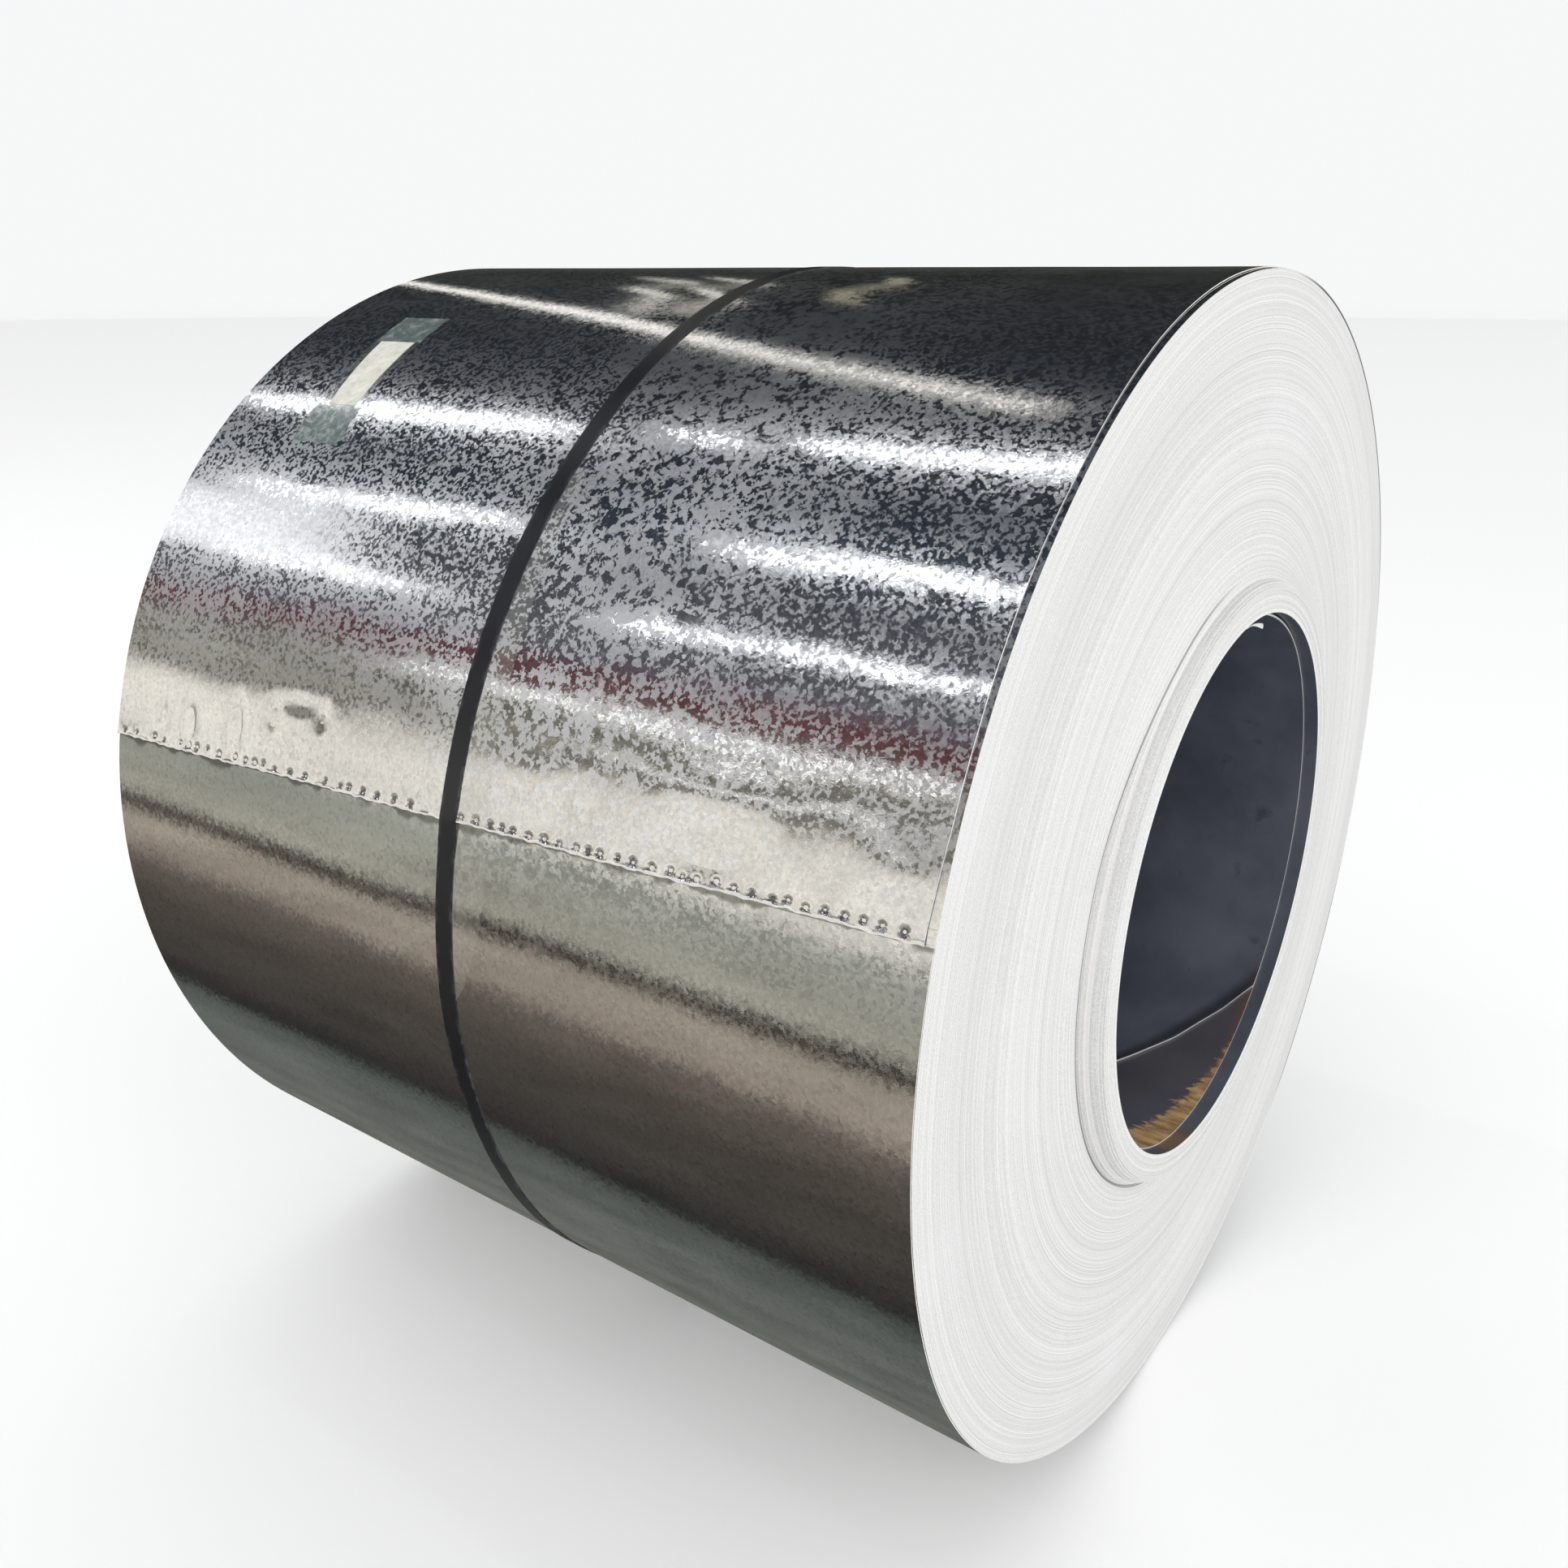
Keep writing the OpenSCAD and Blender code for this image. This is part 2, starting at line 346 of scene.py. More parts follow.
def zinc(name="zinc_spangle"):
    """Spangled zinc: crystals a few millimetres across, some clear, some dull."""
    m = Nodes(name)
    co = m.coord()
    _, wob = m.noise(co, 420, 2, 0.6)
    warp = m.vmath("ADD", co, m.scaled(m.vmath("SUBTRACT", wob, (0.5, 0.5, 0.5)), 0.0050))
    v1 = m.voronoi(warp, 350)
    v2 = m.voronoi(warp, 165)
    s1 = m.new("SeparateColor"); m.put(v1.outputs["Color"], s1.inputs[0])
    s2 = m.new("SeparateColor"); m.put(v2.outputs["Color"], s2.inputs[0])
    clump, _ = m.noise(co, 6.5, 3, 0.55)
    # the crystals grew larger in a broad band round the middle of the strip
    px = m.new("SeparateXYZ"); m.put(co, px.inputs[0])
    mid = m.step(m.math("ABSOLUTE", m.math("SUBTRACT", px.outputs[0], 0.13)), 0.03, 0.20, 0.58, 0.0)
    crystal = m.mixf(mid, s1.outputs[0], s2.outputs[0])
    th = m.step(clump, 0.36, 0.66, 0.46, 0.78)
    # more of them are clear just +X of the middle, and fewer on the lower half
    heart = m.step(m.math("ABSOLUTE", m.math("SUBTRACT", px.outputs[0], 0.13)), 0.03, 0.16, 0.10, 0.0)
    th = m.math("ADD", m.math("SUBTRACT", th, heart), m.step(px.outputs[2], 0.52, 0.72, 0.10, 0.0))
    th = m.math("SUBTRACT", th, m.step(px.outputs[0], 0.22, 0.36, 0.0, 0.10))
    clear = m.step(m.math("SUBTRACT", crystal, th), -0.03, 0.03)
    grain, _ = m.noise(co, 900, 2, 0.7)
    rough = m.mixf(clear, m.mixf(s1.outputs[1], 0.15, 0.24), m.mixf(s1.outputs[1], 0.04, 0.08))
    # the dull bloom is thinner on the lower half and over the very top
    low = m.math("SUBTRACT", px.outputs[2], m.step(px.outputs[0], -0.07, 0.03, 0.085, 0.0))
    calm = m.math("MINIMUM", m.step(low, 0.52, 0.74, 0.28, 1.0), m.step(px.outputs[2], 0.97, 1.05, 1.0, 0.45))
    bloom = m.math("MINIMUM", m.step(low, 0.60, 0.76), m.step(px.outputs[2], 0.90, 1.03, 1.0, 0.10))
    cloudy, _ = m.noise(co, 4.2, 3, 0.6)
    bloom = m.math("MULTIPLY", bloom, m.step(cloudy, 0.30, 0.62, 0.62, 1.0))
    bloom = m.math("MULTIPLY", bloom, m.step(px.outputs[0], 0.20, 0.36, 1.0, 0.42))
    bloom = m.math("MULTIPLY", bloom, m.math("SUBTRACT", 1.0, clear))
    m.put(m.math("SUBTRACT", 1.0, m.math("MULTIPLY", bloom, 0.38)), m.bsdf.inputs["Metallic"])
    rough = m.math("MULTIPLY", rough, calm)
    m.put(m.math("ADD", rough, m.math("MULTIPLY", grain, 0.02)), m.bsdf.inputs["Roughness"])
    pepper, _ = m.noise(warp, 430, 2, 0.7)
    dull = m.mix(s1.outputs[2], (0.745, 0.762, 0.785, 1), (0.805, 0.82, 0.84, 1))
    bright = m.mix(s1.outputs[2], (0.60, 0.61, 0.625, 1), (0.76, 0.77, 0.785, 1))
    zinc_c = m.mix(clear, m.mix(m.math("MULTIPLY", m.step(s1.outputs[1], 0.3, 0.9), 0.35), dull, (0.60, 0.615, 0.64, 1)), bright)
    zinc_c = m.mix(m.math("MULTIPLY", m.step(pepper, 0.50, 0.60), m.math("MULTIPLY", calm, 0.24)), zinc_c, (0.42, 0.435, 0.46, 1))
    # painted shadow under the free end of the strip: a dark band millimetres below its edge, reaching further in places
    _, _, an, _, _ = m.radius_angle()
    full = m.math("FRACT", m.math("ADD", m.math("DIVIDE", an, 2 * math.pi), 1.0))
    below = m.math("SUBTRACT", m.math("MULTIPLY", full, 360.0), m.math("SUBTRACT", 166.3, m.math("MULTIPLY", px.outputs[0], 3.57)))
    below = m.math("MULTIPLY", below, 9.46)
    wide, _ = m.noise(co, 22, 3, 0.6)
    reach = m.step(wide, 0.42, 0.68, 1.6, 11.0)
    painted_gap_shadow = m.math("MULTIPLY", m.step(below, -0.5, 0.3), m.step(below, m.math("MULTIPLY", reach, 0.35), reach, 1.0, 0.0))
    zinc_c = m.mix(m.math("MULTIPLY", painted_gap_shadow, 0.78), zinc_c, (0.16, 0.17, 0.15, 1))
    m.put(zinc_c, m.bsdf.inputs["Base Color"])
    # each crystal leans its own way by a degree or two
    geo = m.new("NewGeometry")
    tilt = m.scaled(m.vmath("SUBTRACT", v1.outputs["Color"], (0.5, 0.5, 0.5)), 0.016)
    tilt2 = m.scaled(m.vmath("SUBTRACT", v2.outputs["Color"], (0.5, 0.5, 0.5)), 0.007)
    n = m.vmath("NORMALIZE", m.vmath("ADD", geo.outputs["Normal"], m.vmath("ADD", tilt, tilt2)))
    m.put(m.bump(grain, 0.06, 0.0004, n), m.bsdf.inputs["Normal"])
    return m.mat


def edge_face():
    """The end of the coil: hundreds of strip edges side by side."""
    m = Nodes("strip_edges")
    x, r, a, y, z = m.radius_angle()
    co = m.coord()
    drift, _ = m.noise(co, 3.2, 2, 0.5)
    rr = m.math("ADD", r, m.math("MULTIPLY", drift, 0.0022))
    f1, _ = m.noise(rr, 760, 3, 0.65, "1D")
    f2, _ = m.noise(rr, 95, 3, 0.6, "1D")
    f3, _ = m.noise(rr, 1100, 1, 0.5, "1D")
    speck, _ = m.noise(co, 620, 2, 0.7)
    blotch, _ = m.noise(co, 5.5, 3, 0.5)
    tone = m.math("ADD", m.math("MULTIPLY", f1, 0.48), m.math("ADD", m.math("MULTIPLY", f2, 0.14), m.math("MULTIPLY", speck, 0.38)))
    t = m.step(tone, 0.36, 0.64)
    c = m.mix(t, (0.60, 0.60, 0.595, 1), (0.85, 0.848, 0.84, 1))
    c = m.mix(m.step(blotch, 0.5, 0.72, 0.0, 0.30), c, (0.80, 0.81, 0.81, 1))
    # a faint warm tint in some rings
    c = m.mix(m.step(f2, 0.58, 0.7, 0.0, 0.18), c, (0.88, 0.83, 0.78, 1))
    # painted shade: a dark ring on the outermost turns of the face, standing for the shadowed gap under the last turn
    # where it hangs loose, on the +Y side
    painted_gap_shade = m.math("MAXIMUM", m.math("MULTIPLY", m.step(a, 0.20, 0.55), m.step(a, 1.30, 1.50, 1.0, 0.0)),
                   m.math("MULTIPLY", m.step(a, -0.95, -0.75), m.step(a, -0.45, -0.20, 1.0, 0.0)))
    painted_gap_shade = m.math("MULTIPLY", painted_gap_shade, m.step(r, 0.5388, 0.5396, 0.0, 0.9))
    c = m.mix(painted_gap_shade, c, (0.035, 0.036, 0.04, 1))
    # painted shadow: a dark greenish-grey line at the base of the proud inner turns, on the -Y side and below
    painted_foot_shadow = m.math("MULTIPLY", m.step(m.math("ABSOLUTE", m.math("SUBTRACT", r, 0.2921)), 0.0006, 0.0018, 0.75, 0.0), m.step(y, -0.02, -0.12))
    c = m.mix(painted_foot_shadow, c, (0.22, 0.225, 0.19, 1))
    m.put(c, m.bsdf.inputs["Base Color"])
    m.bsdf.inputs["Metallic"].default_value = 0.22
    m.put(m.math("ADD", 0.44, m.math("MULTIPLY", f1, 0.16)), m.bsdf.inputs["Roughness"])
    h = m.math("ADD", m.math("MULTIPLY", f3, 0.6), m.math("MULTIPLY", f1, 1.0))
    m.put(m.bump(m.math("ADD", h, m.math("MULTIPLY", speck, 0.9)), 0.22, 0.0005), m.bsdf.inputs["Normal"])
    return m.mat


def cut_edge():
    """The bright sheared edge of a single turn."""
    m = Nodes("sheared_edge")
    co = m.coord()
    n, _ = m.noise(co, 260, 3, 0.6)
    m.put(m.mix(n, (0.72, 0.70, 0.65, 1), (1.0, 0.985, 0.94, 1)), m.bsdf.inputs["Base Color"])
    m.bsdf.inputs["Metallic"].default_value = 0.35
    m.put(m.math("ADD", 0.3, m.math("MULTIPLY", n, 0.2)), m.bsdf.inputs["Roughness"])
    return m.mat


def bore_metal(stained):
    """Inside of the bore: dark, dull zinc with rubbed marks."""
    m = Nodes("bore_turn" if stained else "bore_mouth")
    x, r, a, y, z = m.radius_angle()
    co = m.coord()
    big, _ = m.noise(co, 9, 4, 0.55)
    cloud, _ = m.noise(co, 26, 4, 0.6)
    fine, _ = m.noise(co, 420, 2, 0.6)
    c = m.mix(m.step(big, 0.35, 0.7), lin(101, 106, 119), lin(122, 127, 140))
    c = m.mix(m.step(cloud, 0.62, 0.76, 0.0, 0.6), c, lin(70, 73, 82))
    c = m.mix(m.step(fine, 0.62, 0.8, 0.0, 0.25), c, lin(150, 154, 160))
    rough = m.math("ADD", 0.34, m.math("MULTIPLY", cloud, 0.22))
    if stained:
        # shade above the strip's inner end, a brownish cast below it
        head = m.math("ADD", -1.3317, m.math("MULTIPLY", m.math("SUBTRACT", x, 0.364), 5.934))
        past = m.math("SUBTRACT", a, head)
        c = m.mix(m.math("MULTIPLY", m.step(past, -0.004, 0.004), m.step(past, 0.02, 0.12, 0.62, 0.0)), c, lin(34, 36, 42))
        c = m.mix(m.math("MULTIPLY", m.step(past, -0.006, 0.002, 1.0, 0.0), m.step(past, -1.1, -0.1, 0.0, 0.62)), c, lin(94, 85, 84))
        # an oily brown stain along the bottom of the near edge
        streak = m.new("CombineXYZ")
        m.put(m.math("MULTIPLY", x, 1.0), streak.inputs[0])
        m.put(m.math("MULTIPLY", a, 1.3), streak.inputs[1])
        sn, _ = m.noise(m.scaled(streak.outputs[0], (60, 24, 1)), 1.0, 5, 0.7)
        sn2, _ = m.noise(m.scaled(streak.outputs[0], (24, 14, 1)), 1.0, 4, 0.65)
        # left limit of the stain: it runs in deepest at the very bottom
        bottom = m.math("ABSOLUTE", m.math("ADD", a, 1.60))
        limit = m.math("ADD", 0.4205, m.math("MULTIPLY", m.math("ADD", a, 1.794), 0.0443))
        d = m.math("SUBTRACT", x, limit)
        d = m.math("ADD", d, m.math("MULTIPLY", m.math("SUBTRACT", sn, 0.5), 0.046))
        mask = m.step(d, -0.002, 0.006)
        side = m.step(bottom, 0.60, 0.78, 1.0, 0.0)
        mask = m.math("MULTIPLY", mask, side)
        brown = m.mix(m.step(sn2, 0.3, 0.7), lin(128, 96, 62), lin(214, 172, 118))
        brown = m.mix(m.step(sn, 0.5, 0.75, 0.0, 0.6), brown, lin(234, 204, 160))
        c = m.mix(mask, c, brown)
        # a reddish tinge higher up along the edge
        d2 = m.math("MULTIPLY", m.step(x, 0.442, 0.454), m.step(a, -0.95, -0.62, 0.55, 0.0))
        c = m.mix(m.math("MULTIPLY", d2, m.step(a, -1.6, -1.1)), c, lin(150, 96, 74))
        m.put(m.mixf(mask, 0.6, 0.1), m.bsdf.inputs["Metallic"])
        rough = m.mixf(mask, rough, 0.5)
    else:
        b = m.math("ABSOLUTE", m.math("ADD", a, 1.80))
        patch = m.math("MULTIPLY", m.step(m.math("ADD", b, m.math("MULTIPLY", cloud, 0.3)), 0.20, 0.34, 0.8, 0.0), m.step(x, 0.40, 0.45))
        c = m.mix(patch, c, lin(170, 132, 98))
        m.bsdf.inputs["Metallic"].default_value = 0.6
    m.put(c, m.bsdf.inputs["Base Color"])
    m.put(rough, m.bsdf.inputs["Roughness"])
    h = m.math("ADD", m.math("MULTIPLY", big, 1.0), m.math("MULTIPLY", fine, 0.04))
    m.put(m.bump(h, 0.3, 0.004), m.bsdf.inputs["Normal"])
    return m.mat


def strap_paint():
    """Black waxed steel strapping, rubbed bright here and there on its edges."""
    m = Nodes("strap_black")
    co = m.coord()
    g = m.new("NewGeometry")
    big, _ = m.noise(co, 14, 3, 0.55)
    fine, _ = m.noise(co, 700, 2, 0.6)
    c = m.mix(big, lin(24, 25, 29), lin(42, 44, 50))
    c = m.mix(m.step(fine, 0.6, 0.75, 0.0, 0.25), c, lin(78, 80, 90))
    wear = m.math("MULTIPLY", m.step(g.outputs["Pointiness"], 0.52, 0.56), m.step(m.noise(co, 60, 3, 0.6)[0], 0.45, 0.65))
    c = m.mix(m.math("MULTIPLY", wear, 0.3), c, lin(120, 124, 130))
    m.put(c, m.bsdf.inputs["Base Color"])
    m.bsdf.inputs["Metallic"].default_value = 0.35
    m.put(m.math("ADD", 0.24, m.math("MULTIPLY", big, 0.12)), m.bsdf.inputs["Roughness"])
    m.put(m.bump(fine, 0.15, 0.0003), m.bsdf.inputs["Normal"])
    return m.mat


def seal_steel():
    m = Nodes("seal_dark")
    co = m.coord()
    big, _ = m.noise(co, 40, 3, 0.55)
    fine, _ = m.noise(co, 500, 3, 0.6)
    c = m.mix(big, lin(48, 50, 54), lin(78, 81, 86))
    m.put(m.mix(m.step(fine, 0.55, 0.75, 0.0, 0.5), c, lin(130, 132, 136)), m.bsdf.inputs["Base Color"])
    m.bsdf.inputs["Metallic"].default_value = 0.7
    m.put(m.math("ADD", 0.32, m.math("MULTIPLY", fine, 0.2)), m.bsdf.inputs["Roughness"])
    m.put(m.bump(fine, 0.2, 0.0004), m.bsdf.inputs["Normal"])
    return m.mat


def clear_tape(name, tint, alpha, over=None):
    m = Nodes(name)
    co = m.coord()
    n1, _ = m.noise(co, 120, 4, 0.65)
    n2, _ = m.noise(co, 34, 3, 0.5)
    m.put(m.mix(m.step(n1, 0.45, 0.7, 0.0, 0.6), tint, (0.80, 0.84, 0.80, 1)), m.bsdf.inputs["Base Color"])
    m.bsdf.inputs["Metallic"].default_value = 0.0
    m.bsdf.inputs["Alpha"].default_value = alpha
    if over:                            # clearer where it lies on the paper
        _, _, an, _, _ = m.radius_angle()
        on = m.math("MULTIPLY", m.step(an, over[0] - 0.004, over[0] + 0.004), m.step(an, over[1] - 0.004, over[1] + 0.004, 1.0, 0.0))
        m.put(m.mixf(on, alpha, 0.05), m.bsdf.inputs["Alpha"])
    m.bsdf.inputs["IOR"].default_value = 1.5
    m.bsdf.inputs["Specular IOR Level"].default_value = 0.9
    m.put(m.math("ADD", 0.06, m.math("MULTIPLY", n2, 0.16)), m.bsdf.inputs["Roughness"])
    h = m.math("ADD", m.math("MULTIPLY", n1, 0.5), n2)
    m.put(m.bump(h, 0.8, 0.003), m.bsdf.inputs["Normal"])
    return m.mat


def label_paper():
    m = Nodes("label_paper")
    co = m.coord()
    n1, _ = m.noise(co, 60, 4, 0.6)
    n2, _ = m.noise(co, 900, 2, 0.6)
    c = m.mix(n1, lin(222, 218, 204), lin(250, 247, 238))
    c = m.mix(m.step(n2, 0.55, 0.8, 0.0, 0.3), c, lin(184, 178, 160))
    n3, _ = m.noise(co, 130, 3, 0.7)
    c = m.mix(m.step(n3, 0.52, 0.62, 0.0, 0.35), c, lin(196, 194, 180))
    m.put(c, m.bsdf.inputs["Base Color"])
    m.put(m.math("ADD", 0.32, m.math("MULTIPLY", n1, 0.3)), m.bsdf.inputs["Roughness"])
    m.put(m.bump(m.math("ADD", m.math("ADD", n1, n3), m.math("MULTIPLY", n2, 0.1)), 0.6, 0.002), m.bsdf.inputs["Normal"])
    return m.mat


ZINC = zinc()
FACE = edge_face()
CUT = cut_edge()


def painted_dark_finish():
    """A dark finish painted as shade and dark reflection: the floors of the small round hits, and the +X edge of the
    last turn on the +Y side.
    """
    m = Nodes("painted_shade_dark")
    n, _ = m.noise(m.coord(), 700, 2, 0.6)
    m.put(m.mix(n, (0.07, 0.075, 0.08, 1), (0.30, 0.31, 0.32, 1)), m.bsdf.inputs["Base Color"])
    m.bsdf.inputs["Metallic"].default_value = 0.7
    m.put(m.math("ADD", 0.25, m.math("MULTIPLY", n, 0.2)), m.bsdf.inputs["Roughness"])
    return m.mat


PAINTED_DARK = painted_dark_finish()
BORE_IN = bore_metal(True)
BORE_MOUTH = bore_metal(False)
STRAP = strap_paint()
SEAL = seal_steel()
TAPE = clear_tape("clear_tape", (0.60, 0.58, 0.48, 1), 0.055)
LTAPE = clear_tape("label_film", (0.20, 0.27, 0.25, 1), 0.34, (math.radians(119.2), math.radians(129.4)))
PAPER = label_paper()

# ------------------------------------------------- the wound turns, all but two
SEG = 288
R_BODY = R - T                      # under the last turn
prof, mat = [], []                  # (x, r) points and the finish of the run after each


def add(x, r, k):
    prof.append((x, r)); mat.append(k)


MOUTH_R, BODY_BORE = 0.2559, 0.2552
add(X_LO + 0.0200, BODY_BORE, 1)
add(0.4400, BODY_BORE, 1)
add(0.4500, BODY_BORE + 0.0001, 1)
add(0.4503, MOUTH_R, 1)
add(0.4600, MOUTH_R, 1)
add(0.4664, MOUTH_R, 0)
# turns that stand out round the mouth, then the slope down to the face
rad = 0.2562
k = 0
while rad < 0.2925:
    u = (rad - 0.2562) / (0.2925 - 0.2562)
    drop = 0.0195 * smooth(0.58, 1.0, u) + 0.0004 * u
    jit = 0.00022 * math.sin(k * 2.4) + rng.uniform(-0.00012, 0.00012)
    add(X_COLLAR - 0.0004 - drop + jit, rad, 0)
    add(X_COLLAR - 0.0004 - drop + jit - 0.0001, rad + 0.0016, 0)
    rad += 0.0018
    k += 1
walk = 0.0
while rad < R_BODY - 0.0045:
    width = rng.uniform(0.0018, 0.0036)
    walk = 0.3 * walk + rng.uniform(-0.00004, 0.00004)
    base = X_FACE - 0.00035 + walk + 0.0003 * math.sin(rad * 41) * smooth(0.30, 0.34, rad)
    base = min(base, X_FACE - 0.00002)
    rim = smooth(0.292, 0.330, rad)
    base += (1 - rim) * 0.0016      # the face rises a little towards the slope
    add(base, rad, 0)
    add(base - rng.uniform(-0.00001, 0.00002), rad + width - 0.00012, 0)
    rad += width
add(X_FACE - 0.0002, rad, 0)
add(X_FACE - 0.0002, R_BODY - 0.0012, 0)
add(X_FACE - 0.0000, R_BODY - 0.0010, 0)
add(X_FACE - 0.0000, R_BODY - 0.0001, 2)
add(X_FACE - 0.0002, R_BODY, 2)
add(X_FACE - 0.0285, R_BODY, 2)
add(X_FACE - 0.0300, R_BODY, 2)
add(X_FACE - 0.0360, R_BODY - 0.0030, 2)
add(X_LO + 0.0300, R_BODY - 0.0030, 2)
add(X_LO + 0.0240, R_BODY - 0.0003, 2)
add(X_LO + 0.0001, R_BODY - 0.0003, 0)
# far end: flat outside, falling in towards the bore
rad = R_BODY - 0.0006
add(X_LO, rad, 0)
walk = 0.0
while rad > 0.2960:
    width = rng.uniform(0.0055, 0.0095)
    walk = 0.6 * walk + rng.uniform(0.0, 0.00035)
    base = X_LO + (walk if rad < 0.43 else 0.0) + 0.0010 * smooth(0.31, 0.29, rad)
    add(base, rad - 0.0002, 0)
    add(base, max(rad - width, 0.2925), 0)
    rad -= width
rad = 0.2910
while rad > 0.2565:
    u = (0.2910 - rad) / (0.2910 - 0.2565)
    add(X_LO + 0.0022 + 0.0175 * smooth(0.0, 0.42, u), rad, 0)
    add(X_LO + 0.0022 + 0.0175 * smooth(0.0, 0.42, u) + 0.0001, rad - 0.0026, 0)
    rad -= 0.0028

P = np.array(prof)
n = len(P)
ang = np.linspace(0, 360, SEG, endpoint=False)
V = np.zeros((SEG, n, 3))
V[..., 0] = P[None, :, 0]
V[..., 1] = P[None, :, 1] * np.cos(np.radians(ang))[:, None]
V[..., 2] = AZ + P[None, :, 1] * np.sin(np.radians(ang))[:, None]
# the proud turns run out smoothly over the top, and end in a step lower down
crown = smooth(0.10, 0.75, np.cos(np.radians(ang - 78)))[:, None]
run = X_COLLAR - 0.0004 - 0.0195 * np.sqrt(smooth(0.258, 0.338, P[:, 1]))[None, :]
near_mouth = ((P[:, 0] > 0.43) & (P[:, 1] > 0.2575) & (P[:, 1] < 0.338))[None, :]
V[..., 0] += np.where(near_mouth, crown * np.maximum(run - V[..., 0], 0), 0)
F, M = [], []
for i in range(SEG):
    a0, a1 = i * n, ((i + 1) % SEG) * n
    for j in range(n):
        j1 = (j + 1) % n
        F.append((a0 + j, a0 + j1, a1 + j1, a1 + j))
        M.append(mat[j])
body = make("coil_wound_turns", V, F, [FACE, BORE_MOUTH, ZINC], M, angle=28, node=["coil"], slot="zinc_strip")

# --------------------------------------------------------------- the last turn
SET = np.array([(0, 4), (30, 5), (60, 5.5), (90, 6), (115, 6.5), (124, 5.4), (131, 4.6), (138, 5.4),
                (146, 5.0), (152, 4.6), (158, 4.6), (162, 5.6), (165, 7.0), (170, 7.0)])
SET2 = np.array([(165, 0.3), (190, 0.5), (230, 1.0), (270, 2.0), (320, 3.0), (360, 4.0)])


def set_back(w):
    """How far the sheet's +X edge stands back, w degrees from the free end."""
    phi = 166.3 - w
    return np.where(phi >= 0, np.interp(phi, SET[:, 0], SET[:, 1]),
                    np.interp(phi + 360, SET2[:, 0], SET2[:, 1])) / 1000


NC = 232                             # coarse columns; the edge has three times as many
FINE = 3 * NC
rows_f = [0.0, 0.7, 1.5, 2.4, 3.4, 4.5, 5.7, 7.0, 8.5, 10.2, 12.2, 14.6]
rows_c = [14.6]
while rows_c[-1] < 300:
    rows_c.append(rows_c[-1] + 5.6)
while rows_c[-1] < 3395:
    rows_c.append(rows_c[-1] + 16.2)
END_S = math.radians(361.2) * R * 1000
rows_c[-1] = END_S


def sheet_rows(rows, cols):
    out = []
    for s in rows:
        w = s / (R * 1000) * 180 / math.pi
        x0 = X_LO + 0.0002
        x1 = X_FACE - set_back(w)
        x = np.linspace(x0, x1, cols + 1)
        e = s
        if s < 9:                    # the sheared edge wanders a little
            xm = x * 1000
            rag = 0.45 * np.sin(xm / 5.3 + 2.2 * np.sin(xm / 17)) + 0.35 * np.sin(xm / 2.3)
            rag = rag + 0.5 * np.sin(xm / 41) + 0.25
            e = s + np.clip(rag, -0.6, 1.6) * (1 - s / 9)
        phi = tail_phi(x) - np.degrees(np.asarray(e) / (R * 1000))
        wv = np.full_like(x, w)
        r = turn_r(wv) + lift(x * 1000, np.full_like(x, s)) / 1000
        if s > 3400:
            r = r - 0.00004
        out.append(at(x, phi, r))
    return np.array(out)


A = sheet_rows(rows_f, FINE)
B = sheet_rows(rows_c, NC)
B[0] = A[-1][::3]
nf, mf = A.shape[:2]
nb, mb = B.shape[:2]
verts = [A.reshape(-1, 3)]
idA = lambda i, j: i * mf + j
offB = nf * mf - 0
verts.append(B[1:].reshape(-1, 3))
idB = lambda i, j: (idA(nf - 1, 3 * j) if i == 0 else offB + (i - 1) * mb + j)
F, M = [], []
for i in range(nf - 1):
    for j in range(mf - 1):
        F.append((idA(i, j), idA(i, j + 1), idA(i + 1, j + 1), idA(i + 1, j)))
        xm, sm = A[i, j, 0] * 1000 + 0.66, (rows_f[i] + rows_f[i + 1]) / 2
        # painted highlight: the top faces of the first two rows behind the free end, and of a wavy third, take the
        # bright sheared-edge finish along the rolled lip
        wide_edge = math.sin(xm / 4.1 + 2.0 * math.sin(xm / 13)) > 0.35
        # painted shade: the cores of the hits take the dark finish
        core = any(((xm - hx) / 1.25) ** 2 + (sm - hs) ** 2 < (0.50 * hr) ** 2 for hx, hs, hr, hd in HITS if abs(hx - xm) < 8)
        M.append(2 if core else (1 if i < 2 or (i == 2 and wide_edge) else 0))
for j in range(mb - 1):
    q = 3 * j
    F.append((idA(nf - 1, q), idA(nf - 1, q + 1), idA(nf - 1, q + 2), idA(nf - 1, q + 3), idB(1, j + 1), idB(1, j))); M.append(0)
for i in range(1, nb - 1):
    for j in range(mb - 1):
        F.append((idB(i, j), idB(i, j + 1), idB(i + 1, j + 1), idB(i + 1, j))); M.append(0)
# hidden inner side: a pair of points under each row, one strip thickness in
allrows = [(idA(i, 0), idA(i, mf - 1)) for i in range(nf)] + [(idB(i, 0), idB(i, mb - 1)) for i in range(1, nb)]
vv = np.concatenate(verts)
offI = len(vv)
inner = []
for a, b in allrows:
    for k in (a, b):
        p = vv[k].copy()
        d = np.array([0, p[1], p[2] - AZ]); rr = np.linalg.norm(d)
        p[1:] = p[1:] - d[1:] / rr * T
        inner.append(p)
vv = np.concatenate([vv, np.array(inner)])
idI = lambda i, k: offI + 2 * i + k
NR = len(allrows)
for i in range(NR - 1):
    F.append((idI(i, 0), idI(i + 1, 0), idI(i + 1, 1), idI(i, 1))); M.append(0)
    F.append((allrows[i][0], allrows[i + 1][0], idI(i + 1, 0), idI(i, 0))); M.append(1)
    # painted shade: the +X edge of the last turn takes the dark finish on the +Y side, where it stands in shadow;
    # elsewhere it takes the sheared-edge finish
    mid = vv[allrows[i][1]]
    pm = math.degrees(math.atan2(mid[2] - AZ, mid[1]))
    F.append((idI(i, 1), idI(i + 1, 1), allrows[i + 1][1], allrows[i][1])); M.append(2 if -75 < pm < 80 else 1)
